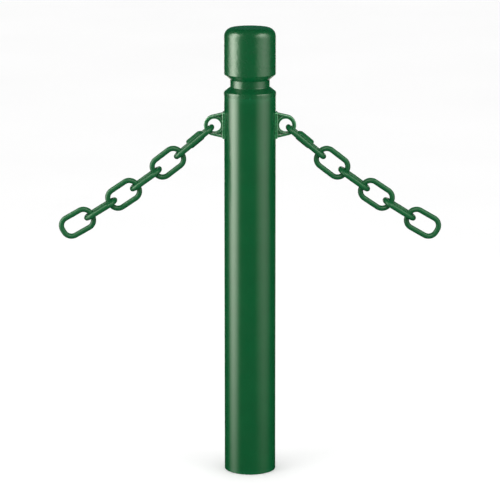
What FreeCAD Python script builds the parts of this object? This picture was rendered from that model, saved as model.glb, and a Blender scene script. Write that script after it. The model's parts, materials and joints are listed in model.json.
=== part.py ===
import FreeCAD, Part
import math
import os

# Steel safety bollard with a cast head and, on each side, an eye lug, a quick link and five chain links.
# Millimetres. +Z is up, the post's axis is Z, the ground is z = 0, and the chains leave along +X and -X.

# ---- post ----
overall_height = 1000.0
tube_diameter = 114.3
tube_wall = 4.0
tube_end_chamfer = 0.8
weld_clearance = 0.1          # gap between pieces that are welded or pressed together

# ---- cast head ----
head_height = 151.0           # from its seat on the tube to the flat top
head_top_radius = 20.0        # rounding between the side and the flat top
head_wall = 7.0
collar_height = 9.65          # plain band directly above the tube
collar_proud = 0.6            # how far the band stands out beyond the tube
neck_depth = 13.3             # how far the neck is sunk below the side
neck_height = 15.8            # the straight part of the neck
neck_cone_height = 11.2       # each of the two slopes into the neck
shoulder_radius = 4.5         # rounding where the side meets the upper slope
neck_root_radius = 2.5        # rounding at each end of the neck
collar_edge_radius = 4.0
collar_seat_radius = 0.8
cavity_corner_radius = 3.0    # roundings inside the casting
spigot_length = 34.0
spigot_wall = 6.0
spigot_clearance = 0.2
spigot_edge_radius = 1.0

# ---- set screws that hold the head, on the back of the post ----
set_screw_count = 2
set_screw_diameter = 8.0
set_screw_length = 10.0
set_screw_sunk = 0.8          # how far the outer end lies below the tube's surface
set_screw_drop = 17.0         # below the seam between head and tube
set_screw_spread = 80.0       # degrees from the first screw to the last
set_screw_key = 4.0           # hexagon socket, across flats
set_screw_key_depth = 4.0
set_screw_clearance = 0.1

# ---- base ----
base_plate_thickness = 10.0
anchor_boss_diameter = 44.0
anchor_boss_height = 45.0
anchor_boss_edge_radius = 1.0
anchor_thread_diameter = 20.0
anchor_lead_in = 1.5          # chamfer at the mouth of the threaded hole

# ---- eye lugs ----
eye_drop = 64.5               # eye centre below the seam between head and tube
eye_diameter = 28.0
eye_wall = 7.35               # from the tube's surface to the eye
eye_rim_width = 9.4           # from the eye to the lug's rounded tip
eye_bead_width = 5.5          # raised ring round the eye on the side of the post
eye_edge_radius = 3.0
lug_thickness = 12.0
lug_edge_radius = 2.5
lug_edge_bead = 5.0           # raised band along the two straight edges
lug_web_thickness = 6.0
flange_height = 58.0
flange_width = 32.0
flange_thickness = 3.7
flange_edge_radius = 1.5
stud_diameter = 12.0
stud_hole_clearance = 0.5
stud_end_beyond_nut = 3.0
saddle_washer_side = 30.0
saddle_washer_thickness = 5.0
lug_nut_across_flats = 18.0
lug_nut_height = 10.0
nut_chamfer_angle = 30.0
thread_clearance = 0.1        # between a nut and its thread, drawn plain

# ---- chain ----
wire_diameter = 12.0
link_pitch = 61.0             # inside length
link_inside_width = 32.0
link_crown_flat = 6.0         # straight middle of each rounded end
links_per_side = 5
contact_clearance = 0.3       # between two links, and between the quick link and its eye
chain_slope_at_eye = 41.2     # degrees below the horizontal
chain_catenary_length = 1245.0   # the slope's tangent falls by 1 over this length of chain

# ---- quick link and its sleeve nut ----
quick_link_inside_length = 89.0
sleeve_wall = 3.8             # from the bar's surface to the sleeve's flats
sleeve_passing_clearance = 0.2   # between the sleeve's flats and a chain link that hangs beside it
sleeve_length = 42.0
sleeve_start = 24.7           # from the eye-side wire centre to the sleeve's near end, when closed
sleeve_grip = 7.0             # length of the eye-side stub inside the closed sleeve
sleeve_near_end_lip = 1.2     # what the cone leaves of the wall at the near end
sleeve_far_end_lip = 3.2
sleeve_running_clearance = 0.08
sleeve_chamfer_angle = 30.0
mouth_clearance = 1.0         # between the open mouth and a chain link's wire

# ---- worked out from the sizes above ----
tube_radius = tube_diameter / 2
tube_bore_radius = tube_radius - tube_wall
seam_z = overall_height - head_height
eye_x = tube_radius + eye_wall + eye_diameter / 2
eye_z = seam_z - eye_drop
wire_radius = wire_diameter / 2
wire_pitch = wire_diameter + contact_clearance      # between the wire centres of two touching members
link_span = link_pitch + wire_diameter              # between a link's two end wire centres
quick_link_span = quick_link_inside_length + wire_diameter
quick_link_inside_width = wire_diameter + 2 * (sleeve_wall + sleeve_passing_clearance)
quick_link_bar_y = (quick_link_inside_width + wire_diameter) / 2
quick_link_crown_flat = lug_thickness - 2 * eye_edge_radius
quick_link_mouth = wire_diameter + mouth_clearance
quick_link_seat = eye_diameter / 2 - wire_radius - contact_clearance
cut_margin = 1.0              # how far a cutting shape reaches beyond what it cuts

UP = FreeCAD.Vector(0, 0, 1)
ALONG_X = FreeCAD.Vector(1, 0, 0)
ALONG_Y = FreeCAD.Vector(0, 1, 0)
ORIGIN = FreeCAD.Vector(0, 0, 0)


def vec(x, y, z):
    return FreeCAD.Vector(x, y, z)


def save(name, shape):
    """Write one node, after making sure that it is made of sound solids."""
    if not shape.isValid() or not shape.Solids:
        raise ValueError(name + " is not a sound solid")
    shape.exportStep(os.path.join("parts", name + ".step"))


def rounded_face(corners):
    """Face in the XZ plane through corners (x, z, rounding radius)."""
    points = [vec(x, 0, z) for x, z, _ in corners]
    edges = []
    previous_end = None
    first_start = None
    count = len(corners)
    for index in range(count):
        corner = points[index]
        back = points[index - 1] - corner
        ahead = points[(index + 1) % count] - corner
        radius = corners[index][2]
        start = corner
        end = corner
        if radius > 0:
            half_angle = back.getAngle(ahead) / 2
            back.normalize()
            ahead.normalize()
            reach = radius / math.tan(half_angle)
            start = corner + back * reach
            end = corner + ahead * reach
            inward = back + ahead
            inward.normalize()
            middle = corner + inward * (radius / math.sin(half_angle) - radius)
        if previous_end is None:
            first_start = start
        elif (start - previous_end).Length > 1e-6:
            edges.append(Part.makeLine(previous_end, start))
        if radius > 0:
            edges.append(Part.Arc(start, middle, end).toShape())
        previous_end = end
    edges.append(Part.makeLine(previous_end, first_start))
    return Part.Face(Part.Wire(edges))


def turned(corners):
    """Solid of revolution about Z."""
    return rounded_face(corners).revolve(ORIGIN, UP, 360)


def rod(radius, start, end):
    run = end - start
    return Part.makeCylinder(radius, run.Length, start, run)


def block(low, high):
    """Box between two opposite corners."""
    size = high - low
    return Part.makeBox(size.x, size.y, size.z, low)


def hexagon_bar(across_flats, start_x, end_x):
    """Hexagonal bar along X with two of its flats level."""
    corner_radius = across_flats / 2 / math.cos(math.radians(30))
    corners = []
    for step in range(6):
        angle = math.radians(60 * step)
        corners.append(vec(start_x, corner_radius * math.cos(angle), corner_radius * math.sin(angle)))
    outline = Part.makePolygon(corners + corners[:1])
    return Part.Face(outline).extrude(vec(end_x - start_x, 0, 0))


def hexagon_nut(across_flats, length, start_end_radius, far_end_radius, bore_radius, chamfer_angle):
    """Nut along +X from the origin, its corners turned down to a cone at each end."""
    corner_radius = across_flats / 2 / math.cos(math.radians(30))
    slope = math.tan(math.radians(chamfer_angle))
    start_taper = (corner_radius - start_end_radius) / slope
    far_taper = (corner_radius - far_end_radius) / slope
    outline = Part.makePolygon([
        vec(0, 0, 0),
        vec(0, 0, start_end_radius),
        vec(start_taper, 0, corner_radius),
        vec(length - far_taper, 0, corner_radius),
        vec(length, 0, far_end_radius),
        vec(length, 0, 0),
        vec(0, 0, 0),
    ])
    envelope = Part.Face(outline).revolve(ORIGIN, ALONG_X, 360)
    bore = rod(bore_radius, vec(-cut_margin, 0, 0), vec(length + cut_margin, 0, 0))
    return hexagon_bar(across_flats, 0, length).common(envelope).cut(bore)


def wire_ring(far_x, inside_width, crown_flat):
    """Closed oblong ring of round wire in the XY plane, its end wire centres at the origin and at far_x."""
    half_width = (inside_width + wire_diameter) / 2
    bend = half_width - crown_flat / 2
    pieces = []
    for end_x, bend_x in ((0, bend), (far_x, far_x - bend)):
        pieces.append(rod(wire_radius, vec(end_x, -crown_flat / 2, 0), vec(end_x, crown_flat / 2, 0)))
        for side in (-1, 1):
            section = Part.makeCircle(wire_radius, vec(end_x, side * crown_flat / 2, 0), ALONG_Y)
            quarter = -90 * side if bend_x > end_x else 90 * side
            centre = vec(bend_x, side * crown_flat / 2, 0)
            pieces.append(Part.Face(Part.Wire(section)).revolve(centre, UP, quarter))
    for side in (-1, 1):
        start = vec(bend, side * half_width, 0)
        end = vec(far_x - bend, side * half_width, 0)
        pieces.append(rod(wire_radius, start, end))
    return pieces[0].fuse(pieces[1:]).removeSplitter()


# ---- post and base ----

def set_screw_angles():
    """Directions of the set screws, in degrees from +X, shared out about the back of the post."""
    first = 90 - set_screw_spread / 2
    step = set_screw_spread / (set_screw_count - 1)
    return [first + step * index for index in range(set_screw_count)]


def around_back(shape):
    """Copies of a shape that points along +X, one in each set screw's direction."""
    copies = []
    for angle in set_screw_angles():
        copy = shape.copy()
        copy.rotate(ORIGIN, UP, angle)
        copies.append(copy)
    return copies


def set_screw_holes():
    """Radial holes through the tube's wall and the spigot's wall."""
    radius = set_screw_diameter / 2 + set_screw_clearance
    level = seam_z - set_screw_drop
    inner = tube_bore_radius - spigot_clearance - spigot_wall - cut_margin
    outer = tube_radius + cut_margin
    return around_back(rod(radius, vec(inner, 0, level), vec(outer, 0, level)))


def post_tube():
    tube = turned([
        (tube_bore_radius, 0, 0),
        (tube_radius - tube_end_chamfer, 0, 0),
        (tube_radius, tube_end_chamfer, 0),
        (tube_radius, seam_z - tube_end_chamfer, 0),
        (tube_radius - tube_end_chamfer, seam_z, 0),
        (tube_bore_radius, seam_z, 0),
    ])
    stud_hole_radius = stud_diameter / 2 + stud_hole_clearance
    stud_holes = rod(stud_hole_radius, vec(-tube_diameter, 0, eye_z), vec(tube_diameter, 0, eye_z))
    return tube.cut([stud_holes] + set_screw_holes())


def head_casting():
    collar_radius = tube_radius + collar_proud
    spigot_radius = tube_bore_radius - spigot_clearance
    spigot_bore_radius = spigot_radius - spigot_wall
    neck_radius = tube_radius - neck_depth
    cavity_radius = tube_radius - head_wall
    neck_bore_radius = neck_radius - head_wall
    neck_bottom = seam_z + collar_height + neck_cone_height
    neck_top = neck_bottom + neck_height
    shoulder_z = neck_top + neck_cone_height
    # A wall of even thickness moves each inside corner along the axis by this much.
    corner_shift = head_wall * math.tan(math.atan2(neck_depth, neck_cone_height) / 2)
    slope = neck_cone_height / neck_depth
    lower_bore_z = neck_bottom + corner_shift - (spigot_bore_radius - neck_bore_radius) * slope
    upper_bore_z = neck_top - corner_shift + (cavity_radius - neck_bore_radius) * slope
    head = turned([
        (0, overall_height, 0),
        (tube_radius, overall_height, head_top_radius),
        (tube_radius, shoulder_z, shoulder_radius),
        (neck_radius, neck_top, neck_root_radius),
        (neck_radius, neck_bottom, neck_root_radius),
        (collar_radius, seam_z + collar_height, collar_edge_radius),
        (collar_radius, seam_z, collar_seat_radius),
        (spigot_radius, seam_z, 0),
        (spigot_radius, seam_z - spigot_length, spigot_edge_radius),
        (spigot_bore_radius, seam_z - spigot_length, 0),
        (spigot_bore_radius, lower_bore_z, cavity_corner_radius),
        (neck_bore_radius, neck_bottom + corner_shift, cavity_corner_radius),
        (neck_bore_radius, neck_top - corner_shift, cavity_corner_radius),
        (cavity_radius, upper_bore_z, cavity_corner_radius),
        (cavity_radius, overall_height - head_wall, head_top_radius - head_wall),
        (0, overall_height - head_wall, 0),
    ])
    return head.cut(set_screw_holes())


def head_set_screws():
    outer = tube_radius - set_screw_sunk
    level = seam_z - set_screw_drop
    screw = rod(set_screw_diameter / 2, vec(outer - set_screw_length, 0, level), vec(outer, 0, level))
    socket = hexagon_bar(set_screw_key, outer - set_screw_key_depth, outer + cut_margin)
    socket.translate(vec(0, 0, level))
    return Part.makeCompound(around_back(screw.cut(socket)))


def base_plate():
    plate_radius = tube_bore_radius - weld_clearance
    hole_radius = anchor_boss_diameter / 2 + weld_clearance
    return turned([
        (hole_radius, 0, 0),
        (plate_radius, 0, 0),
        (plate_radius, base_plate_thickness, 0),
        (hole_radius, base_plate_thickness, 0),
    ])


def anchor_boss():
    thread_radius = anchor_thread_diameter / 2
    return turned([
        (thread_radius + anchor_lead_in, 0, 0),
        (anchor_boss_diameter / 2, 0, 0),
        (anchor_boss_diameter / 2, anchor_boss_height, anchor_boss_edge_radius),
        (thread_radius, anchor_boss_height, 0),
        (thread_radius, anchor_lead_in, 0),
    ])


# ---- eye lug and what holds it, drawn for the +X side ----

def lug_outline(inset, edge_radius):
    """Outline of the lug in the XZ plane: two straight edges that touch a round tip."""
    foot_half = flange_height / 2 - inset
    tip_radius = eye_diameter / 2 + eye_rim_width - edge_radius
    foot_x = tube_radius - eye_x
    foot_distance = math.hypot(foot_x, foot_half)
    touch_angle = math.atan2(foot_half, foot_x) - math.acos(tip_radius / foot_distance)
    touch_x = eye_x + tip_radius * math.cos(touch_angle)
    touch_z = tip_radius * math.sin(touch_angle)
    upper_touch = vec(touch_x, 0, eye_z + touch_z)
    lower_touch = vec(touch_x, 0, eye_z - touch_z)
    upper_foot = vec(tube_radius, 0, eye_z + foot_half)
    lower_foot = vec(tube_radius, 0, eye_z - foot_half)
    tip = vec(eye_x + tip_radius, 0, eye_z)
    edges = [
        Part.makeLine(upper_foot, upper_touch),
        Part.Arc(upper_touch, tip, lower_touch).toShape(),
        Part.makeLine(lower_touch, lower_foot),
        Part.makeLine(lower_foot, upper_foot),
    ]
    return Part.Face(Part.Wire(edges))


def lug_plate():
    """The plate with its eye and rounded edges."""
    half = lug_thickness / 2
    face = lug_outline(0, 0)
    face.translate(vec(0, -half, 0))
    plate = face.extrude(vec(0, lug_thickness, 0))
    flange_face_x = tube_radius + flange_thickness
    rim = []
    for edge in plate.Edges:
        box = edge.BoundBox
        flat_in_face = abs(abs(box.YMin) - half) < 1e-6 and box.YLength < 1e-6
        if flat_in_face and box.XMax > flange_face_x:
            rim.append(edge)
    plate = plate.makeFillet(lug_edge_radius, rim)
    eye_radius = eye_diameter / 2
    rounding = eye_edge_radius - 1e-3       # a hair less, so that a short line joins the arc and the flat
    eye_section = rounded_face([
        (0, -half - cut_margin, 0),
        (eye_radius + eye_edge_radius, -half - cut_margin, 0),
        (eye_radius + eye_edge_radius, -half, 0),
        (eye_radius, -half, rounding),
        (eye_radius, half, rounding),
        (eye_radius + eye_edge_radius, half, 0),
        (eye_radius + eye_edge_radius, half + cut_margin, 0),
        (0, half + cut_margin, 0),
    ])
    eye = eye_section.revolve(ORIGIN, UP, 360)
    eye.rotate(ORIGIN, ALONG_X, 90)
    eye.translate(vec(eye_x, 0, eye_z))
    return plate.cut(eye)


def lug_pockets():
    """The sunk web on both faces, between the eye's ring, the edge bands and the flange."""
    bead_tip_radius = eye_diameter / 2 + eye_rim_width
    inner = lug_outline(lug_edge_bead, lug_edge_bead)
    depth = (lug_thickness - lug_web_thickness) / 2
    region = inner.extrude(vec(0, depth + cut_margin, 0))
    low_y = -cut_margin
    high_y = depth + 2 * cut_margin
    ring = rod(eye_diameter / 2 + eye_bead_width, vec(eye_x, low_y, eye_z), vec(eye_x, high_y, eye_z))
    foot_x = tube_radius + flange_thickness
    beyond = block(
        vec(eye_x, low_y, eye_z - bead_tip_radius),
        vec(eye_x + bead_tip_radius, high_y, eye_z + bead_tip_radius),
    )
    behind = block(
        vec(0, low_y, eye_z - flange_height),
        vec(foot_x, high_y, eye_z + flange_height),
    )
    front = region.cut([ring, beyond, behind])
    back = front.copy()
    front.translate(vec(0, lug_web_thickness / 2, 0))
    back.translate(vec(0, -lug_web_thickness / 2 - depth - cut_margin, 0))
    return [front, back]


def lug():
    flange = block(
        vec(0, -flange_width / 2, eye_z - flange_height / 2),
        vec(tube_radius + flange_thickness, flange_width / 2, eye_z + flange_height / 2),
    )
    outer_edges = [edge for edge in flange.Edges if edge.BoundBox.XMin > tube_radius]
    flange = flange.makeFillet(flange_edge_radius, outer_edges)
    nut_end = tube_bore_radius - saddle_washer_thickness - lug_nut_height
    stud_start = vec(nut_end - stud_end_beyond_nut, 0, eye_z)
    stud = rod(stud_diameter / 2, stud_start, vec(tube_radius + flange_thickness / 2, 0, eye_z))
    room_for_tube = rod(
        tube_radius + weld_clearance,
        vec(0, 0, eye_z - flange_height),
        vec(0, 0, eye_z + flange_height),
    )
    plate = lug_plate().cut(lug_pockets())
    return plate.fuse(flange).cut(room_for_tube).fuse(stud).removeSplitter()


def lug_saddle_washer():
    """Square washer, curved outside to the tube's bore and flat where the nut bears."""
    half = saddle_washer_side / 2
    flat_x = tube_bore_radius - saddle_washer_thickness
    square = block(vec(flat_x, -half, eye_z - half), vec(tube_bore_radius, half, eye_z + half))
    bore_shape = rod(
        tube_bore_radius - weld_clearance,
        vec(0, 0, eye_z - saddle_washer_side),
        vec(0, 0, eye_z + saddle_washer_side),
    )
    hole_radius = stud_diameter / 2 + stud_hole_clearance
    hole = rod(hole_radius, vec(0, 0, eye_z), vec(tube_radius, 0, eye_z))
    return square.common(bore_shape).cut(hole)


def lug_nut():
    bevel_radius = lug_nut_across_flats / 2
    nut = hexagon_nut(
        lug_nut_across_flats,
        lug_nut_height,
        bevel_radius,
        bevel_radius,
        stud_diameter / 2 + thread_clearance,
        nut_chamfer_angle,
    )
    nut.translate(vec(tube_bore_radius - saddle_washer_thickness - lug_nut_height, 0, eye_z))
    return nut


# ---- quick link, drawn along +X from its eye-side wire centre ----

def quick_link():
    ring = wire_ring(quick_link_span, quick_link_inside_width, quick_link_crown_flat)
    mouth_start = sleeve_start + sleeve_grip
    mouth = block(
        vec(mouth_start, quick_link_bar_y - wire_diameter, -wire_diameter),
        vec(mouth_start + quick_link_mouth, quick_link_bar_y + wire_diameter, wire_diameter),
    )
    return ring.cut(mouth)


def quick_link_nut():
    nut = hexagon_nut(
        2 * (wire_radius + sleeve_wall),
        sleeve_length,
        wire_radius + sleeve_near_end_lip,
        wire_radius + sleeve_far_end_lip,
        wire_radius + sleeve_running_clearance,
        sleeve_chamfer_angle,
    )
    nut.rotate(ORIGIN, ALONG_X, 30)
    nut.translate(vec(sleeve_start, quick_link_bar_y, 0))
    return nut


# ---- where each member of the chain hangs, on the +X side ----

def slope_at(chain_distance):
    """Slope below the horizontal, in degrees, of a chain that hangs between two posts."""
    tangent = math.tan(math.radians(chain_slope_at_eye)) - chain_distance / chain_catenary_length
    return math.degrees(math.atan(tangent))


def chain_layout():
    """For the quick link and each link in turn: the point it swings about, and its slope."""
    members = []
    pivot = vec(eye_x, 0, eye_z)
    travelled = 0.0
    for index in range(links_per_side + 1):
        if index == 0:
            reach = quick_link_seat + quick_link_span
        elif index % 2 == 1:
            reach = link_span - 2 * wire_pitch
        else:
            reach = link_span
        slope = slope_at(travelled + reach / 2)
        members.append((pivot, slope))
        heading = math.radians(slope)
        pivot = pivot + vec(math.cos(heading), 0, -math.sin(heading)) * reach
        travelled = travelled + reach
    return members


def hung(shape, near_offset, pivot, slope):
    """Move a member so that its near wire centre lies near_offset along the slope from the pivot."""
    placed = shape.copy()
    placed.translate(vec(near_offset, 0, 0))
    placed.rotate(ORIGIN, ALONG_Y, slope)
    placed.translate(pivot)
    return placed


def chain_members():
    """Name and solid of everything that hangs on the +X side."""
    layout = chain_layout()
    members = [
        ("quick_link", hung(quick_link(), quick_link_seat, *layout[0])),
        ("quick_link_nut", hung(quick_link_nut(), quick_link_seat, *layout[0])),
    ]
    edge_on_link = wire_ring(link_span, link_inside_width, link_crown_flat)
    face_on_link = edge_on_link.copy()
    face_on_link.rotate(ORIGIN, ALONG_X, 90)
    for index in range(1, links_per_side + 1):
        if index % 2 == 1:
            placed = hung(face_on_link, -wire_pitch, *layout[index])
        else:
            placed = hung(edge_on_link, 0, *layout[index])
        members.append(("chain_link_" + str(index), placed))
    return members


def write_parts():
    os.makedirs("parts", exist_ok=True)
    save("post_tube", post_tube())
    save("head_casting", head_casting())
    save("head_set_screws", head_set_screws())
    save("base_plate", base_plate())
    save("anchor_boss", anchor_boss())
    sided = [
        ("lug", lug()),
        ("lug_saddle_washer", lug_saddle_washer()),
        ("lug_nut", lug_nut()),
    ] + chain_members()
    for name, shape in sided:
        save("right_" + name, shape)
        save("left_" + name, shape.mirror(ORIGIN, ALONG_X))


write_parts()
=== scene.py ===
import json
import math

import bmesh
import bpy
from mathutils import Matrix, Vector, noise

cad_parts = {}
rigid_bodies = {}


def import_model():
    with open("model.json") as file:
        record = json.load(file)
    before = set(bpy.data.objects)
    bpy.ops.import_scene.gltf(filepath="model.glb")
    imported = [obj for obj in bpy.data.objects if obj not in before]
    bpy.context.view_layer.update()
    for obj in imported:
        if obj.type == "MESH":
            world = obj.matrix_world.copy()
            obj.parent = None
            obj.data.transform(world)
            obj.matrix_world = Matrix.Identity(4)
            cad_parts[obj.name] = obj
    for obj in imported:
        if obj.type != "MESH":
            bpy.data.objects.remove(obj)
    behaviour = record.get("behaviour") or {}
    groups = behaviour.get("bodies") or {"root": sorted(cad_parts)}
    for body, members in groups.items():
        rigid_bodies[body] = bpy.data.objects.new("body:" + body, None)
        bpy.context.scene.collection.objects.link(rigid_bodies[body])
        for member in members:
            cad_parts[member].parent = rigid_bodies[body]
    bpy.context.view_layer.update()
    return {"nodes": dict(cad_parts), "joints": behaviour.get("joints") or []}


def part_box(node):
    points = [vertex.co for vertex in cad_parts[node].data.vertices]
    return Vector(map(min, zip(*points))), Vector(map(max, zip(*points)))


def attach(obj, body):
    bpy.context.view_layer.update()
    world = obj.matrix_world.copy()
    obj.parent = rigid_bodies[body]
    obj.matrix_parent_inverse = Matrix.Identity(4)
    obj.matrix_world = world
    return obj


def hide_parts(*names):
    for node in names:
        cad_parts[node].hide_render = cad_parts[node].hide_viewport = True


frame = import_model()

# A green steel post with a cast head, two eye lugs, and a quick link and five chain links on each side.
# Everything is in metres, in the frame of the CAD model: +Z up, the chains along +X and -X, the front at -Y.

MM = 0.001
SIDES = (("right", 1), ("left", -1))       # name, and direction along X
LINKS_PER_SIDE = 5
SHARP_ANGLE = 35               # degrees between faces, from which an edge is shaded sharp
NODES = frame["nodes"]
PIVOTS = {joint["child"]: Vector(joint["pos_m"]) for joint in frame["joints"] if joint["type"] == "hinge"}
UP = Vector((0, 0, 1))
ALONG_Y = Vector((0, 1, 0))


def box_centre(node):
    low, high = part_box(node)
    return (Vector(low) + Vector(high)) / 2


def box_size(node):
    low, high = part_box(node)
    return Vector(high) - Vector(low)


# ---- sizes read from the frame ----

TUBE_RADIUS = box_size("post_tube").x / 2
SEAM_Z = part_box("post_tube")[1][2]
TOP_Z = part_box("head_casting")[1][2]
COLLAR_RADIUS = box_size("head_casting").x / 2
WIRE_RADIUS = box_size("right_chain_link_1").y / 2
LINK_HALF_WIDTH = box_size("right_chain_link_2").y / 2 - WIRE_RADIUS
LINK_SPAN = (PIVOTS["right_chain_link_3"] - PIVOTS["right_chain_link_2"]).length
LINK_OFFSET = (LINK_SPAN - (PIVOTS["right_chain_link_2"] - PIVOTS["right_chain_link_1"]).length) / 2
QUICK_HALF_WIDTH = box_size("right_quick_link").y / 2 - WIRE_RADIUS
QUICK_REACH = (PIVOTS["right_chain_link_1"] - PIVOTS["right_quick_link"]).length
QUICK_MIDDLE = (box_centre("right_quick_link") - PIVOTS["right_quick_link"]).length
QUICK_SPAN = 2 * (QUICK_REACH - QUICK_MIDDLE)
QUICK_SEAT = QUICK_REACH - QUICK_SPAN
SLEEVE_ACROSS_FLATS = box_size("right_quick_link_nut").y
EYE_Z = PIVOTS["right_quick_link"].z

# ---- sizes that the frame's boxes don't give ----

TUBE_WALL = 4 * MM
TUBE_CHAMFER = 0.8 * MM
SEAM_CHAMFER = 0.15 * MM       # what the paint leaves of the joint under the head
HEAD_WALL = 7 * MM
HEAD_TOP_RADIUS = 20 * MM
COLLAR_HEIGHT = 9.65 * MM
NECK_DEPTH = 13.3 * MM
NECK_HEIGHT = 15.8 * MM
NECK_CONE_HEIGHT = 11.2 * MM
SHOULDER_RADIUS = 4.5 * MM
NECK_ROOT_RADIUS = 2.5 * MM
COLLAR_EDGE_RADIUS = 4 * MM
COLLAR_TAPER = 5 * MM          # height over which the collar runs in to the tube's radius
CAVITY_CORNER_RADIUS = 3 * MM
SPIGOT_WALL = 6 * MM
SPIGOT_GAP = 0.2 * MM
SPIGOT_EDGE_RADIUS = 1.0 * MM
STUD_HOLE_RADIUS = 6.5 * MM
SCREW_RADIUS = 4 * MM
SCREW_LENGTH = 10 * MM
SCREW_SUNK = 0.8 * MM
SCREW_SOCKET = 4 * MM          # across flats, and as deep
SCREW_DROP = 17 * MM           # from the seam down to the screws' axes
SCREW_ANGLES = (50, 130)       # degrees from +X, both at the back
SCREW_BORE_GAP = 0.1 * MM
SCREW_BORE_DEPTH = 20 * MM
BORE_CLEARANCE = 2 * MM        # how far a cutting tool starts outside the surface
CROWN_FLAT = 6 * MM            # straight stretch in the middle of a ring's end
THREAD_PITCH = 1.75 * MM       # of the quick link and its sleeve nut
THREAD_DEPTH = 0.55 * MM
MOUTH_START = 31.7 * MM        # this and the next two: from the wire's centre at the quick link's eye end
MOUTH_END = 44.7 * MM
SLEEVE_START = 24.7 * MM
SLEEVE_LENGTH = 42 * MM
SLEEVE_NEAR_LIP = 1.2 * MM
SLEEVE_FAR_LIP = 3.2 * MM
SLEEVE_BORE_GAP = 0.08 * MM
LUG_THICKNESS = 12 * MM
LUG_SINK = 2.8 * MM            # depth of the sunk web round the eye, on each face
LUG_SINK_RADIUS = 18.4 * MM


# ---- small mesh tools ----

SAME_PLACE = 0.001 * MM        # points closer than this count as one
BORE_SIDES = 40
ARC_FINENESS = 3               # a rounding's points lie this many times closer than the rest of a profile's
ARC_MIN_STEPS = 4
NEARLY_UPRIGHT = 0.99
NOISE_SEED_STEPS = (1, 0.37, -0.71)        # how far a seed of 1 shifts the noise along each axis


def in_scene(name, data):
    """A new object in the scene."""
    made = bpy.data.objects.new(name, data)
    bpy.context.scene.collection.objects.link(made)
    return made


def new_object(name, vertices, faces, sharp_angle=SHARP_ANGLE):
    """A mesh object in the scene, with outward faces, smooth but for edges sharper than sharp_angle."""
    mesh = bpy.data.meshes.new(name)
    mesh.from_pydata([tuple(v) for v in vertices], [], faces)
    shape = bmesh.new()
    shape.from_mesh(mesh)
    bmesh.ops.remove_doubles(shape, verts=shape.verts, dist=SAME_PLACE)
    bmesh.ops.recalc_face_normals(shape, faces=shape.faces)
    shape.to_mesh(mesh)
    shape.free()
    shade(mesh, sharp_angle)
    return in_scene(name, mesh)


def shade(mesh, sharp_angle=SHARP_ANGLE):
    """Shade a mesh smooth, with sharp edges where it turns by more than sharp_angle."""
    mesh.polygons.foreach_set("use_smooth", [True] * len(mesh.polygons))
    mesh.set_sharp_from_angle(angle=math.radians(sharp_angle))
    mesh.update()


def apply_modifiers(made):
    """Bake an object's modifiers into its mesh."""
    bpy.context.view_layer.update()
    evaluated = made.evaluated_get(bpy.context.evaluated_depsgraph_get())
    old = made.data
    made.data = bpy.data.meshes.new_from_object(evaluated)
    made.modifiers.clear()
    bpy.data.meshes.remove(old)


def soft_noise(point, scale, seed):
    """Smooth noise from 0 to 1, with features about scale metres across."""
    return 0.5 + 0.5 * noise.noise(point / scale + Vector([seed * step for step in NOISE_SEED_STEPS]))


def grid_faces(rings, sides, closed):
    """Quads between rings of the same number of points; closed joins the last ring to the first."""
    faces = []
    for ring in range(rings if closed else rings - 1):
        following = (ring + 1) % rings
        for side in range(sides):
            beside = (side + 1) % sides
            faces.append((
                ring * sides + side,
                ring * sides + beside,
                following * sides + beside,
                following * sides + side,
            ))
    return faces


def turned(
    name, profile, sides, origin=Vector(), axis=UP, across=None, closed=False, sharp_angle=SHARP_ANGLE,
):
    """Turned solid: profile is (height, radius) pairs, and a radius may be a function of the angle.

    Angles are counted from across, which stands square to the axis. closed joins the profile's two ends.
    """
    axis = axis.normalized()
    if across is None:
        across = Vector((1, 0, 0)) if abs(axis.z) >= NEARLY_UPRIGHT else axis.orthogonal().normalized()
    beside = axis.cross(across)
    vertices = []
    for height, radius in profile:
        for side in range(sides):
            angle = math.tau * side / sides
            reach = radius(angle) if callable(radius) else radius
            spoke = across * math.cos(angle) + beside * math.sin(angle)
            vertices.append(origin + axis * height + spoke * reach)
    return new_object(name, vertices, grid_faces(len(profile), sides, closed), sharp_angle)


def rounded_profile(corners, step):
    """Profile points through corners (height, radius, rounding), evenly filled in between."""
    points = []
    for index, (height, radius, rounding) in enumerate(corners):
        corner = Vector((height, radius))
        if rounding == 0:
            points.append(corner)
            continue
        back = (Vector(corners[index - 1][:2]) - corner).normalized()
        ahead = (Vector(corners[index + 1][:2]) - corner).normalized()
        half = back.angle(ahead) / 2
        reach = rounding / math.tan(half)
        centre = corner + (back + ahead).normalized() * (rounding / math.sin(half))
        start = corner + back * reach - centre
        end = corner + ahead * reach - centre
        turn = start.angle(end)
        steps = max(ARC_MIN_STEPS, int(turn * rounding / (step / ARC_FINENESS)))
        for part in range(steps + 1):
            share = part / steps
            arm = (start * math.sin((1 - share) * turn) + end * math.sin(share * turn)) / math.sin(turn)
            points.append(centre + arm)
    filled = [points[0]]
    for point in points[1:]:
        run = point - filled[-1]
        if run.length < SAME_PLACE:
            continue
        parts = max(1, int(run.length / step))
        last = filled[-1]
        for part in range(1, parts + 1):
            filled.append(last + run * part / parts)
    return [(point.x, point.y) for point in filled]


def cut_bores(made, bores):
    """Cut plain round holes, each (radius, start point, end point), out of a solid."""
    for radius, start, end in bores:
        run = end - start
        profile = [(0, 0), (0, radius), (run.length, radius), (run.length, 0)]
        tool = turned("cutter", profile, BORE_SIDES, start, run)
        cut = made.modifiers.new("cut", "BOOLEAN")
        cut.operation = "DIFFERENCE"
        cut.solver = "EXACT"
        cut.object = tool
        apply_modifiers(made)
        bpy.data.objects.remove(tool)
    shade(made.data)


# ---- line of a ring of wire ----

WIRE_SIDES = 48


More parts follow.
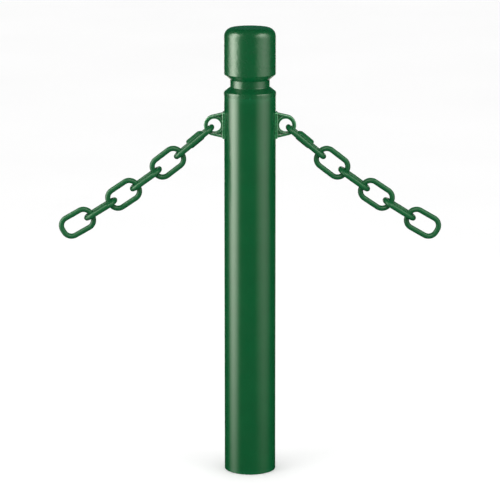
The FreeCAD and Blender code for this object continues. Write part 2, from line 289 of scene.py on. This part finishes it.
class WireLine:
    """Centre line in a plane, made of straight and evenly curved stretches of (length, turn per metre)."""

    def __init__(self, start, heading, stretches):
        self.start = start
        self.heading = heading
        self.stretches = stretches
        self.length = sum(length for length, _ in stretches)

    def at(self, distance):
        """Place (along, across) and heading after that distance."""
        along, across = self.start
        heading = self.heading
        left = distance
        for length, bend in self.stretches:
            run = min(left, length)
            if bend == 0:
                along += run * math.cos(heading)
                across += run * math.sin(heading)
            else:
                after = heading + bend * run
                along += (math.sin(after) - math.sin(heading)) / bend
                across += (math.cos(heading) - math.cos(after)) / bend
                heading = after
            left -= run
            if left <= 0:
                break
        return along, across, heading


def oblong_line(span, half_width, first_along, gap=0.0):
    """Round an oblong ring, from first_along on its far bar to gap short of the same point."""
    bend_radius = half_width - CROWN_FLAT / 2
    straight = span - 2 * bend_radius
    before = span - bend_radius - first_along
    quarter = (math.pi / 2 * bend_radius, -1 / bend_radius)
    stretches = [
        (before, 0), quarter, (CROWN_FLAT, 0), quarter,
        (straight, 0), quarter, (CROWN_FLAT, 0), quarter,
        (straight - before - gap, 0),
    ]
    return WireLine((first_along, half_width), 0.0, stretches)


def swept_wire(name, line, distances, radius_at, origin, along, across, closed):
    """Round wire along a line that lies in the plane of along and across; an open wire has flat ends."""
    beyond = along.cross(across)
    vertices = []
    for distance in distances:
        place_along, place_across, heading = line.at(distance)
        centre = origin + along * place_along + across * place_across
        outward = across * math.cos(heading) - along * math.sin(heading)
        for side in range(WIRE_SIDES):
            angle = math.tau * side / WIRE_SIDES
            reach = radius_at(distance, angle)
            vertices.append(centre + (outward * math.cos(angle) + beyond * math.sin(angle)) * reach)
    faces = grid_faces(len(distances), WIRE_SIDES, closed)
    if not closed:
        faces.append(tuple(range(WIRE_SIDES)))
        faces.append(tuple(range(len(vertices) - WIRE_SIDES, len(vertices))))
    return new_object(name, vertices, faces)


def evenly(start, end, step):
    """Distances from start to end, no further apart than step."""
    parts = max(1, math.ceil((end - start) / step))
    return [start + (end - start) * part / parts for part in range(parts + 1)]


# ---- materials ----

PAINT_DEEP = (0.0008, 0.076, 0.0205)
PAINT_EVEN = (0.0012, 0.085, 0.0230)
PAINT_FLECK = (0.0035, 0.107, 0.034)
PAINT_THIN_AND_HIGHLIGHT = (0.006, 0.125, 0.045)         # paler on convex edges: partly thin paint, partly painted highlight
PAINT_SUNK_SHADE = (0.0004, 0.025, 0.008)        # painted shade in sunk corners
LUG_EDGE_HIGHLIGHT = (0.05, 0.27, 0.11)            # painted highlight on the lugs' convex edges
# pointiness ranges where the paler edge colour (thin paint and painted highlight) and the painted corner
# shade come in
EDGE_POINTINESS = (0.52, 0.62)
SUNK_SHADE_POINTINESS = (0.43, 0.49)
FLECK_NOISE = (0.62, 0.78)                 # only the highest noise values make a fleck
ZINC_DARK = (0.42, 0.43, 0.44)
ZINC_PALE = (0.60, 0.61, 0.60)
FLOOR_GREY = (0.93, 0.93, 0.93)
FLOOR_WHITE = (0.95, 0.95, 0.95)
FLOOR_GLOW = 0.07


def node_material(name):
    """A new material with its nodes, links and shader, and the place in the object's own coordinates."""
    material = bpy.data.materials.new(name)
    material.use_nodes = True
    nodes = material.node_tree.nodes
    shader = nodes["Principled BSDF"]
    place = nodes.new("ShaderNodeTexCoord").outputs["Object"]
    return material, nodes, material.node_tree.links, shader, place


def noise_texture(nodes, links, place, feature, *, detail=3.0, roughness=0.5):
    """Noise whose features are about `feature` metres across."""
    made = nodes.new("ShaderNodeTexNoise")
    made.inputs["Scale"].default_value = 1 / feature
    made.inputs["Detail"].default_value = detail
    made.inputs["Roughness"].default_value = roughness
    links.new(place, made.inputs["Vector"])
    return made.outputs["Fac"]


def spread(nodes, links, value, low, high, from_low=0.3, from_high=0.7):
    """Map a value between from_low and from_high, such as a noise value, to the range low to high."""
    made = nodes.new("ShaderNodeMapRange")
    made.inputs["From Min"].default_value = from_low
    made.inputs["From Max"].default_value = from_high
    made.inputs["To Min"].default_value = low
    made.inputs["To Max"].default_value = high
    links.new(value, made.inputs["Value"])
    return made.outputs["Result"]


def mixed_colour(nodes, links, factor, first, second):
    """Mix of two colours, each a tuple or another node's output."""
    made = nodes.new("ShaderNodeMix")
    made.data_type = "RGBA"
    for index, colour in ((6, first), (7, second)):
        if isinstance(colour, tuple):
            made.inputs[index].default_value = (*colour, 1)
        else:
            links.new(colour, made.inputs[index])
    links.new(factor, made.inputs[0])
    return made.outputs[2]


def bumps(nodes, links, shader, layers):
    """Stack of bump layers, each (height output, depth in metres), into the shader's normal."""
    normal = None
    for height, depth in layers:
        made = nodes.new("ShaderNodeBump")
        made.inputs["Strength"].default_value = 1.0
        made.inputs["Distance"].default_value = depth
        links.new(height, made.inputs["Height"])
        if normal is not None:
            links.new(normal, made.inputs["Normal"])
        normal = made.outputs["Normal"]
    links.new(normal, shader.inputs["Normal"])


def green_paint(
    name, smoothest, roughest, skin, *, pale=1.0, shine=0.5, edges=EDGE_POINTINESS, rubbed=PAINT_THIN_AND_HIGHLIGHT,
):
    """Thick green gloss paint whose roughness lies between smoothest and roughest.

    skin is the unevenness under and in it, as layers of (feature size, bump depth). Convex edges, where their
    pointiness lies between the two values of edges, take the colour rubbed, which is paler partly for thin
    paint and partly as a painted highlight; sunk corners are darker with painted shade. pale scales the
    colour elsewhere, and shine is the specular level.
    """
    material, nodes, links, shader, place = node_material(name)
    clouds = noise_texture(nodes, links, place, 60 * MM)
    flecks = noise_texture(nodes, links, place, 1.6 * MM, detail=4.0, roughness=0.6)
    streaks = noise_texture(nodes, links, place, 22 * MM, detail=5.0, roughness=0.6)
    pointiness = nodes.new("ShaderNodeNewGeometry").outputs["Pointiness"]
    deep = tuple(channel * pale for channel in PAINT_DEEP)
    even = tuple(channel * pale for channel in PAINT_EVEN)
    colour = mixed_colour(nodes, links, spread(nodes, links, clouds, 0, 1), deep, even)
    # flecks are the paint's own tone; the edge colour is thin paint and painted highlight, the corner colour
    # is painted shade
    for share, tint in (
        (spread(nodes, links, flecks, 0, 1, *FLECK_NOISE), PAINT_FLECK),
        (spread(nodes, links, pointiness, 0, 1, *edges), rubbed),
        (spread(nodes, links, pointiness, 1, 0, *SUNK_SHADE_POINTINESS), PAINT_SUNK_SHADE),
    ):
        colour = mixed_colour(nodes, links, share, colour, tint)
    links.new(colour, shader.inputs["Base Color"])
    links.new(spread(nodes, links, streaks, smoothest, roughest), shader.inputs["Roughness"])
    shader.inputs["Specular IOR Level"].default_value = shine
    bumps(nodes, links, shader, [(noise_texture(nodes, links, place, size), depth) for size, depth in skin])
    return material


def zinc(name):
    """Bright zinc plating, faintly mottled and rubbed."""
    material, nodes, links, shader, place = node_material(name)
    mottle = noise_texture(nodes, links, place, 5 * MM, detail=4.0, roughness=0.6)
    colour = mixed_colour(nodes, links, spread(nodes, links, mottle, 0, 1), ZINC_DARK, ZINC_PALE)
    links.new(colour, shader.inputs["Base Color"])
    rubbed = noise_texture(nodes, links, place, 2 * MM, detail=5.0, roughness=0.6)
    links.new(spread(nodes, links, rubbed, 0.26, 0.42), shader.inputs["Roughness"])
    shader.inputs["Metallic"].default_value = 1.0
    bumps(nodes, links, shader, [(noise_texture(nodes, links, place, 0.6 * MM), 0.01 * MM)])
    return material


def pale_floor(name):
    """Nearly white ground that glows a little, so that it runs into the white surroundings."""
    material, nodes, links, shader, place = node_material(name)
    clouds = noise_texture(nodes, links, place, 0.9)
    colour = mixed_colour(nodes, links, spread(nodes, links, clouds, 0, 1), FLOOR_GREY, FLOOR_WHITE)
    links.new(colour, shader.inputs["Base Color"])
    grain = noise_texture(nodes, links, place, 3 * MM)
    links.new(spread(nodes, links, grain, 0.75, 0.9), shader.inputs["Roughness"])
    shader.inputs["Specular IOR Level"].default_value = 0.1
    shader.inputs["Emission Color"].default_value = (1, 1, 1, 1)
    shader.inputs["Emission Strength"].default_value = FLOOR_GLOW
    bumps(nodes, links, shader, [(grain, 0.05 * MM)])
    return material


TUBE_SKIN = [(40 * MM, 0.06 * MM), (1.3 * MM, 0.004 * MM)]
CAST_SKIN = [(14 * MM, 0.16 * MM), (3.4 * MM, 0.05 * MM)]
LUG_SKIN = [(6 * MM, 0.12 * MM), (2.6 * MM, 0.30 * MM)]
WIRE_SKIN = [(9 * MM, 0.12 * MM), (1.8 * MM, 0.03 * MM)]
BASE_SKIN = [(9 * MM, 0.12 * MM), (1.2 * MM, 0.05 * MM)]
TUBE_PAINT = green_paint("tube_paint", 0.21, 0.25, TUBE_SKIN)
CAST_PAINT = green_paint("cast_paint", 0.22, 0.30, CAST_SKIN)
# the lugs' convex edges take a stronger painted highlight
LUG_PAINT = green_paint(
    "lug_paint", 0.20, 0.32, LUG_SKIN, pale=0.80, shine=0.9, edges=(0.505, 0.535), rubbed=LUG_EDGE_HIGHLIGHT,
)
CHAIN_PAINT = green_paint("chain_paint", 0.33, 0.43, WIRE_SKIN, pale=0.74, shine=0.25)
FITTING_PAINT = green_paint("fitting_paint", 0.30, 0.40, WIRE_SKIN, pale=0.74, shine=0.30)
BASE_PAINT = green_paint("base_paint", 0.35, 0.5, BASE_SKIN, pale=0.9)
ZINC = zinc("zinc_plating")
FLOOR_FINISH = pale_floor("floor_finish")


def paint(made, material):
    """Give an object one material, in place of what it has."""
    made.data.materials.clear()
    made.data.materials.append(material)


def finish_piece(piece, body, material, slot, *replaced):
    """Give a new piece its material and body, and hide the CAD nodes that it replaces. slot is not used."""
    paint(piece, material)
    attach(piece, body)
    if replaced:
        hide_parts(*replaced)


# ---- post ----

TUBE_STEP = 14 * MM            # longest run between two rings of the tube's mesh
TUBE_SIDES = 160
HEAD_STEP = 2 * MM
HEAD_SIDES = 240
SCREW_SIDES = 48


def screw_spoke(degrees):
    """Level direction from the post's axis to a set screw."""
    angle = math.radians(degrees)
    return Vector((math.cos(angle), math.sin(angle), 0))


def screw_bores():
    """The set screws' holes, as cut_bores wants them."""
    level = UP * (SEAM_Z - SCREW_DROP)
    bores = []
    for degrees in SCREW_ANGLES:
        spoke = screw_spoke(degrees)
        start = level + spoke * (TUBE_RADIUS - SCREW_BORE_DEPTH)
        end = level + spoke * (TUBE_RADIUS + BORE_CLEARANCE)
        bores.append((SCREW_RADIUS + SCREW_BORE_GAP, start, end))
    return bores


def make_tube():
    """Steel tube with broken edges; its holes are for the set screws and the lugs' studs."""
    bore = TUBE_RADIUS - TUBE_WALL
    profile = rounded_profile([
        (0, bore, 0),
        (0, TUBE_RADIUS - TUBE_CHAMFER, 0),
        (TUBE_CHAMFER, TUBE_RADIUS, 0),
        (SEAM_Z - SEAM_CHAMFER, TUBE_RADIUS, 0),
        (SEAM_Z, TUBE_RADIUS - SEAM_CHAMFER, 0),
        (SEAM_Z, bore, 0),
        (0, bore, 0),
    ], TUBE_STEP)[:-1]
    tube = turned("painted_tube", profile, TUBE_SIDES, closed=True)
    studs = []
    for _, sign in SIDES:
        inner = Vector((sign * (TUBE_RADIUS - 2 * TUBE_WALL), 0, EYE_Z))
        outer = Vector((sign * (TUBE_RADIUS + TUBE_WALL), 0, EYE_Z))
        studs.append((STUD_HOLE_RADIUS, inner, outer))
    cut_bores(tube, studs + screw_bores())
    finish_piece(tube, "post", TUBE_PAINT, "painted_tube", "post_tube")


def make_head():
    """Cast head: flat top, sunk neck between two cones, collar, and the spigot inside the tube."""
    neck_radius = TUBE_RADIUS - NECK_DEPTH
    cavity_radius = TUBE_RADIUS - HEAD_WALL
    neck_bore = neck_radius - HEAD_WALL
    neck_bottom = SEAM_Z + COLLAR_HEIGHT + NECK_CONE_HEIGHT
    neck_top = neck_bottom + NECK_HEIGHT
    shoulder_z = neck_top + NECK_CONE_HEIGHT
    spigot_radius = TUBE_RADIUS - TUBE_WALL - SPIGOT_GAP
    spigot_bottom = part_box("head_casting")[0][2]
    spigot_bore = spigot_radius - SPIGOT_WALL
    # the cavity follows the neck's cones at the wall's thickness
    shift = HEAD_WALL * math.tan(math.atan2(NECK_DEPTH, NECK_CONE_HEIGHT) / 2)
    slope = NECK_CONE_HEIGHT / NECK_DEPTH
    lower_bore_z = neck_bottom + shift - (spigot_bore - neck_bore) * slope
    upper_bore_z = neck_top - shift + (cavity_radius - neck_bore) * slope
    profile = rounded_profile([
        (TOP_Z, 0, 0),
        (TOP_Z, TUBE_RADIUS, HEAD_TOP_RADIUS),
        (shoulder_z, TUBE_RADIUS, SHOULDER_RADIUS),
        (neck_top, neck_radius, NECK_ROOT_RADIUS),
        (neck_bottom, neck_radius, NECK_ROOT_RADIUS),
        (SEAM_Z + COLLAR_HEIGHT, COLLAR_RADIUS, COLLAR_EDGE_RADIUS),
        (SEAM_Z + COLLAR_TAPER, COLLAR_RADIUS, 0),
        (SEAM_Z + SEAM_CHAMFER, TUBE_RADIUS, 0),
        (SEAM_Z, TUBE_RADIUS - SEAM_CHAMFER, 0),
        (SEAM_Z, spigot_radius, 0),
        (spigot_bottom, spigot_radius, SPIGOT_EDGE_RADIUS),
        (spigot_bottom, spigot_bore, 0),
        (lower_bore_z, spigot_bore, CAVITY_CORNER_RADIUS),
        (neck_bottom + shift, neck_bore, CAVITY_CORNER_RADIUS),
        (neck_top - shift, neck_bore, CAVITY_CORNER_RADIUS),
        (upper_bore_z, cavity_radius, CAVITY_CORNER_RADIUS),
        (TOP_Z - HEAD_WALL, cavity_radius, HEAD_TOP_RADIUS - HEAD_WALL),
        (TOP_Z - HEAD_WALL, 0, 0),
    ], HEAD_STEP)
    head = turned("cast_head", profile, HEAD_SIDES)
    cut_bores(head, screw_bores())
    roughen(
        head, broad=0.16 * MM, broad_scale=26 * MM, fine=0.34 * MM, fine_scale=7 * MM, seed=11,
        above=SEAM_Z + 1 * MM,
    )
    finish_piece(head, "post", CAST_PAINT, "painted_casting", "head_casting")


def roughen(made, *, broad, broad_scale, fine, fine_scale, seed, above=-math.inf):
    """Sink a cast surface unevenly, by up to broad plus fine; only what lies above that height changes."""
    vertices = made.data.vertices
    skin = [(vertex.co.copy(), vertex.normal.copy()) for vertex in vertices]
    for vertex, (place, normal) in zip(vertices, skin):
        if place.z < above:
            continue
        wide = soft_noise(place, broad_scale, seed)
        small = soft_noise(place, fine_scale, seed + 3)
        vertex.co = place - normal * (broad * wide + fine * small)
    made.data.update()


def make_set_screws():
    """Two threaded set screws with hexagon sockets, through the tube's back into the head's spigot."""
    pitch = 1.25 * MM
    thread_depth = 0.6 * MM
    outer_chamfer = 0.9 * MM
    inner_chamfer = 1.2 * MM
    socket_chamfer = 0.3 * MM
    socket_mouth = SCREW_SOCKET * 0.68
    tail_length = 1.0 * MM         # behind the thread
    tail_sink = 0.1 * MM

    def socket(angle):
        return SCREW_SOCKET / 2 / math.cos((angle % (math.pi / 3)) - math.pi / 6)

    profile = [(SCREW_SOCKET, 0), (SCREW_SOCKET, socket), (socket_chamfer, socket), (0, socket_mouth)]
    profile.append((0, SCREW_RADIUS - outer_chamfer))
    for turn in range(int(SCREW_LENGTH / pitch) - 1):
        start = outer_chamfer + turn * pitch
        profile += [(start, SCREW_RADIUS), (start + pitch / 2, SCREW_RADIUS - thread_depth)]
    profile.append((SCREW_LENGTH - tail_length, SCREW_RADIUS - tail_sink))
    profile += [(SCREW_LENGTH, SCREW_RADIUS - inner_chamfer), (SCREW_LENGTH, 0)]
    made = []
    for degrees in SCREW_ANGLES:
        spoke = screw_spoke(degrees)
        outer_end = UP * (SEAM_Z - SCREW_DROP) + spoke * (TUBE_RADIUS - SCREW_SUNK)
        made.append(turned("set_screw_" + str(degrees), profile, SCREW_SIDES, outer_end, -spoke))
    for screw in made:
        finish_piece(screw, "post", ZINC, "zinc_fasteners")
    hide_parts("head_set_screws")


# ---- lugs ----

LUG_VOXEL = 0.6 * MM
LUG_SMOOTH_FACTOR = 0.5
LUG_SMOOTH_ROUNDS = 4
LUG_SHARP_ANGLE = 60           # the cast skin has no sharp edges


def make_lug(side):
    """Cast lug: the CAD solid with its web sunk round the eye too, its corners soft and its skin uneven."""
    node = side + "_lug"
    lug = in_scene(side + "_cast_lug", NODES[node].data.copy())
    eye = PIVOTS[side + "_quick_link"]
    sinks = []
    for outward in (-ALONG_Y, ALONG_Y):
        clear = eye + outward * (LUG_THICKNESS / 2 + BORE_CLEARANCE)
        bottom = eye + outward * (LUG_THICKNESS / 2 - LUG_SINK)
        sinks.append((LUG_SINK_RADIUS, clear, bottom))
    cut_bores(lug, sinks)
    remesh = lug.modifiers.new("remesh", "REMESH")
    remesh.mode = "VOXEL"
    remesh.voxel_size = LUG_VOXEL
    smooth = lug.modifiers.new("smooth", "SMOOTH")
    smooth.factor = LUG_SMOOTH_FACTOR
    smooth.iterations = LUG_SMOOTH_ROUNDS
    apply_modifiers(lug)
    roughen(lug, broad=0.12 * MM, broad_scale=9 * MM, fine=0.25 * MM, fine_scale=2.6 * MM, seed=23)
    shade(lug.data, LUG_SHARP_ANGLE)
    finish_piece(lug, "post", LUG_PAINT, "painted_casting", node)


# ---- quick links and chain ----

SLEEVE_SIDES = 144
SLEEVE_SHARP_ANGLE = 40
THREAD_STEPS = 10              # rings of mesh in one pitch of thread


def member_axes(body, flat):
    """Pivot, length direction and width direction; a flat member's width lies in the chain's plane."""
    pivot = PIVOTS[body]
    along = (box_centre(body) - pivot).normalized()
    across = along.cross(ALONG_Y) if flat else ALONG_Y
    if flat and across.z < 0:
        across = -across
    return pivot, along, across


def make_quick_link(side):
    """Round wire ring, open at its mouth, with a thread on each side of the mouth."""
    body = side + "_quick_link"
    pivot, along, across = member_axes(body, False)
    line = oblong_line(QUICK_SPAN, QUICK_HALF_WIDTH, MOUTH_END, MOUTH_END - MOUTH_START)
    # both threads end inside the sleeve
    long_thread = SLEEVE_START + SLEEVE_LENGTH - MOUTH_END - 3 * MM
    short_thread = MOUTH_START - SLEEVE_START - 0.5 * MM
    end_chamfer = 1.0 * MM
    wave_depth = 0.03 * MM
    wave_length = 9 * MM
    step = 1.5 * MM

    def radius_at(distance, angle):
        from_end = min(distance, line.length - distance)
        thread = long_thread if distance < line.length / 2 else short_thread
        reach = WIRE_RADIUS
        if from_end < thread:
            fade = min(1.0, (thread - from_end) / THREAD_PITCH)
            phase = math.tau * (distance / THREAD_PITCH) - angle
            reach -= THREAD_DEPTH * fade * (0.5 - 0.5 * math.cos(phase))
        else:
            reach -= wave_depth * (1 + math.sin(distance / wave_length + angle))
        if from_end < end_chamfer:
            reach = min(reach, WIRE_RADIUS - (end_chamfer - from_end))
        return reach

    fine = THREAD_PITCH / THREAD_STEPS
    distances = evenly(0, long_thread, fine)
    distances += evenly(long_thread, line.length - short_thread, step)[1:]
    distances += evenly(line.length - short_thread, line.length, fine)[1:]
    origin = pivot + along * QUICK_SEAT
    ring = swept_wire(side + "_quick_link_ring", line, distances, radius_at, origin, along, across, False)
    finish_piece(ring, body, FITTING_PAINT, "painted_fittings", body)


def make_sleeve_nut(side):
    """Hexagonal sleeve with a long cone towards the eye and a short one at its far end."""
    body = side + "_quick_link"
    node = body + "_nut"
    pivot, along, across = member_axes(body, False)
    flat = SLEEVE_ACROSS_FLATS / 2
    cone_slope = math.tan(math.radians(30))
    corner_power = 44              # the higher, the sharper the six corners
    edge_power = 90                # the higher, the sharper the edges between the flats and the cones
    near_radius = WIRE_RADIUS + SLEEVE_NEAR_LIP
    far_radius = WIRE_RADIUS + SLEEVE_FAR_LIP

    def skin(height):
        """Radius at a height, as a function of the angle."""
        cone = min(near_radius + height * cone_slope, far_radius + (SLEEVE_LENGTH - height) * cone_slope)

        def radius(angle):
            planes = [max(0.0, math.cos(angle - math.pi / 3 * step)) / flat for step in range(6)]
            hexagon = sum(plane ** corner_power for plane in planes) ** (-1 / corner_power)
            return (hexagon ** -edge_power + cone ** -edge_power) ** (-1 / edge_power)

        return radius

    bore = WIRE_RADIUS + SLEEVE_BORE_GAP
    lip = 0.5 * MM
    end_rounding = 0.35 * MM
    step = 0.6 * MM
    near_chamfer = 0.4 * MM
    near_chamfer_length = 0.6 * MM
    far_chamfer = 0.8 * MM
    profile = [(near_chamfer_length, bore), (0, bore + near_chamfer), (0, near_radius - lip)]
    profile += [(height, skin(height)) for height in evenly(end_rounding, SLEEVE_LENGTH - end_rounding, step)]
    profile += [(SLEEVE_LENGTH, far_radius - lip), (SLEEVE_LENGTH, bore + far_chamfer)]
    profile += [(SLEEVE_LENGTH - far_chamfer, bore)]
    start = pivot + along * (QUICK_SEAT + SLEEVE_START) + across * QUICK_HALF_WIDTH
    nut = turned(side + "_sleeve_nut", profile, SLEEVE_SIDES, start, along, across, True, SLEEVE_SHARP_ANGLE)
    finish_piece(nut, node, FITTING_PAINT, "painted_fittings", node)


def make_chain_link(side, number):
    """Welded oblong link; odd ones lie flat in the chain's plane, even ones stand across it."""
    body = side + "_chain_link_" + str(number)
    flat = number % 2 == 1
    pivot, along, across = member_axes(body, flat)
    origin = pivot - along * LINK_OFFSET if flat else pivot
    line = oblong_line(LINK_SPAN, LINK_HALF_WIDTH, LINK_SPAN / 2)
    seed = number * 7.3 + (0 if side == "right" else 41)       # no two links are quite the same
    bead_height = (0.22 + 0.08 * math.sin(seed)) * MM      # of the weld, at the start of the line
    bead_width = 2.2 * MM
    bead_lumps = 0.3               # share by which three lumps round the wire vary its height
    wave_depth = 0.10 * MM

    def radius_at(distance, angle):
        turn = math.tau * distance / line.length
        round_link = Vector((2 * math.cos(turn), 2 * math.sin(turn), seed))
        round_wire = Vector((math.cos(angle), math.sin(angle), turn))
        wave = 0.5 + 0.5 * noise.noise(round_link + 0.4 * round_wire)
        from_bead = min(distance, line.length - distance)
        lumps = 1 + bead_lumps * math.cos(angle * 3 + seed)
        bead = bead_height * math.exp(-(from_bead / bead_width) ** 2) * lumps
        return WIRE_RADIUS - wave_depth * wave + bead

    near_bead = 9 * MM
    bead_step = 0.5 * MM
    step = 1.4 * MM
    distances = evenly(0, near_bead, bead_step)
    distances += evenly(near_bead, line.length - near_bead, step)[1:]
    distances += evenly(line.length - near_bead, line.length, bead_step)[1:-1]
    link = swept_wire(side + "_link_" + str(number), line, distances, radius_at, origin, along, across, True)
    finish_piece(link, body, CHAIN_PAINT, "painted_chain", body)


# ---- stage, light and camera ----

FLOOR_REACH = 30.0
FLOOR_DROP = 0.5 * MM          # keeps the ground off the post's foot
WORLD_WHITE = (1.0, 1.0, 1.0)
WORLD_REFLECTED = (0.0, 0.0, 0.0)
REFLECTED_WHITE = (1.0, 1.0, 0.89)
REFLECTED_GREEN = (0.22, 1.0, 0.6)
CAMERA_PLACE = (0, -5.120, 1.577)
CAMERA_TILT_DOWN = 11.842
CAMERA_LENS = 169.3
CAMERA_SENSOR = 36


def make_floor():
    """Wide pale ground, which throws no shadow and isn't reflected."""
    corners = [(x * FLOOR_REACH, y * FLOOR_REACH, 0) for x, y in ((-1, -1), (1, -1), (1, 1), (-1, 1))]
    floor = new_object("floor", corners, [(0, 1, 2, 3)])
    if floor.data.polygons[0].normal.z < 0:
        floor.data.flip_normals()
    floor.location.z = -FLOOR_DROP
    floor.data.materials.append(FLOOR_FINISH)
    floor.visible_glossy = False
    floor.visible_shadow = False


def make_world():
    """White surroundings that light the paint's body colour and stay out of its reflections."""
    world = bpy.data.worlds.new("studio")
    bpy.context.scene.world = world
    world.use_nodes = True
    nodes = world.node_tree.nodes
    links = world.node_tree.links
    background = nodes["Background"]
    glossy = nodes.new("ShaderNodeLightPath").outputs["Is Glossy Ray"]
    colour = mixed_colour(nodes, links, glossy, WORLD_WHITE, WORLD_REFLECTED)
    links.new(colour, background.inputs["Color"])
    background.inputs["Strength"].default_value = 1.0


def area_light(name, azimuth, distance, width, low_z, high_z, power):
    """Upright soft light; azimuth is in degrees from the front, positive towards +X."""
    light = bpy.data.lights.new(name, "AREA")
    light.shape = "RECTANGLE"
    light.size = width
    light.size_y = high_z - low_z
    light.energy = power
    made = in_scene(name, light)
    angle = math.radians(azimuth)
    made.location = (distance * math.sin(angle), -distance * math.cos(angle), (low_z + high_z) / 2)
    made.rotation_euler = (math.radians(90), 0, angle)
    made.visible_camera = False
    return made


def softbox(name, azimuth, distance, width, low_z, high_z, power, core, full_z, colour=REFLECTED_WHITE):
    """Light in reflections only, which fades from its core to its sides, and from full_z down to low_z."""
    made = area_light(name, azimuth, distance, width, low_z, high_z, power)
    made.visible_diffuse = False
    made.data.color = colour
    fade_light(made.data, core, (full_z - low_z) / (high_z - low_z))
    return made


def fill_light(name, azimuth, distance, width, low_z, high_z, power):
    """Light that doesn't show in reflections."""
    made = area_light(name, azimuth, distance, width, low_z, high_z, power)
    made.visible_glossy = False
    return made


def fade_light(light, core, full_share):
    """Strength over the light's face: one on its core, none at its sides and at its lower edge."""
    light.use_nodes = True
    nodes = light.node_tree.nodes
    links = light.node_tree.links

    def calculated(operation, *values):
        """Output of a math node; each value is a number or another node's output."""
        made = nodes.new("ShaderNodeMath")
        made.operation = operation
        for index, value in enumerate(values):
            if isinstance(value, float):
                made.inputs[index].default_value = value
            else:
                links.new(value, made.inputs[index])
        return made.outputs[0]

    face = nodes.new("ShaderNodeSeparateXYZ")
    links.new(nodes.new("ShaderNodeNewGeometry").outputs["Parametric"], face.inputs[0])
    aside = calculated("ABSOLUTE", calculated("SUBTRACT", face.outputs["X"], 0.5))
    across = spread(nodes, links, aside, 1, 0, core / 2, 0.5)
    upwards = spread(nodes, links, face.outputs["Y"], 0, 1, 0, full_share)
    links.new(calculated("MULTIPLY", across, upwards), nodes["Emission"].inputs["Strength"])


def make_lights():
    """Two tall softboxes make the post's streaks; the rest shape its edges, its back and the chains."""
    # name, azimuth, distance, width, lowest and highest z, power; softboxes then have core and full_z
    softbox("left_softbox", -77.5, 1.7, 1.95, -0.75, 2.6, 222, 0.15, 0.75)
    softbox("right_softbox", 63, 1.7, 2.8, -0.75, 2.6, 138, 0.1, 2.3)
    softbox("right_upper_softbox", 63, 1.65, 2.2, 1.1, 2.9, 50, 0.1, 2.3)
    softbox("back_glow", 180, 3.0, 4.0, 0.6, 3.2, 5, 0.6, 1.2, REFLECTED_GREEN)
    softbox("back_left_softbox", -170, 2.4, 0.6, -0.75, 0.9, 15, 0.2, 0.5)
    softbox("back_right_softbox", 166, 2.4, 0.9, -0.75, 0.9, 14, 0.2, 0.9)
    fill_light("left_fill", -55, 1.9, 1.2, 0.1, 2.3, 12)
    fill_light("right_fill", 58, 1.9, 1.2, 0.1, 2.3, 9)
    front = softbox("front_softbox", 0, 2.2, 1.6, 1.2, 3.6, 110, 0.5, 1.5)
    front.visible_diffuse = True
    light_only(front, [piece for piece in bpy.context.scene.objects if is_small_piece(piece)])


def is_small_piece(thing):
    """Whether it is one of the new lugs, quick links, sleeve nuts or chain links."""
    return thing.type == "MESH" and thing.name not in NODES and thing.name.startswith(("right_", "left_"))


def light_only(light, pieces):
    """Keep a light to some of the pieces, as flags do in a studio."""
    lit = bpy.data.collections.new(light.name + "_lit")
    for piece in pieces:
        lit.objects.link(piece)
    light.light_linking.receiver_collection = lit


def make_camera():
    """The photo's camera: straight in front, looking down a little through a long lens."""
    camera = bpy.data.cameras.new("camera")
    camera.sensor_fit = "HORIZONTAL"
    camera.sensor_width = CAMERA_SENSOR
    camera.lens = CAMERA_LENS
    made = in_scene("camera", camera)
    made.location = CAMERA_PLACE
    made.rotation_euler = (math.radians(90 - CAMERA_TILT_DOWN), 0, 0)
    bpy.context.scene.camera = made


def make_pieces():
    """All visual pieces, and the paint of the hidden CAD nodes that stay as they are."""
    make_tube()
    make_head()
    make_set_screws()
    for node in ("base_plate", "anchor_boss"):
        paint(NODES[node], BASE_PAINT)
    for side, _ in SIDES:
        make_lug(side)
        paint(NODES[side + "_lug_saddle_washer"], ZINC)
        paint(NODES[side + "_lug_nut"], ZINC)
        make_quick_link(side)
        make_sleeve_nut(side)
        for number in range(1, LINKS_PER_SIDE + 1):
            make_chain_link(side, number)


make_camera()
make_world()
make_floor()
make_pieces()
make_lights()           # after the pieces, because the front softbox lights some of them only
bpy.context.scene.view_settings.view_transform = "Standard"
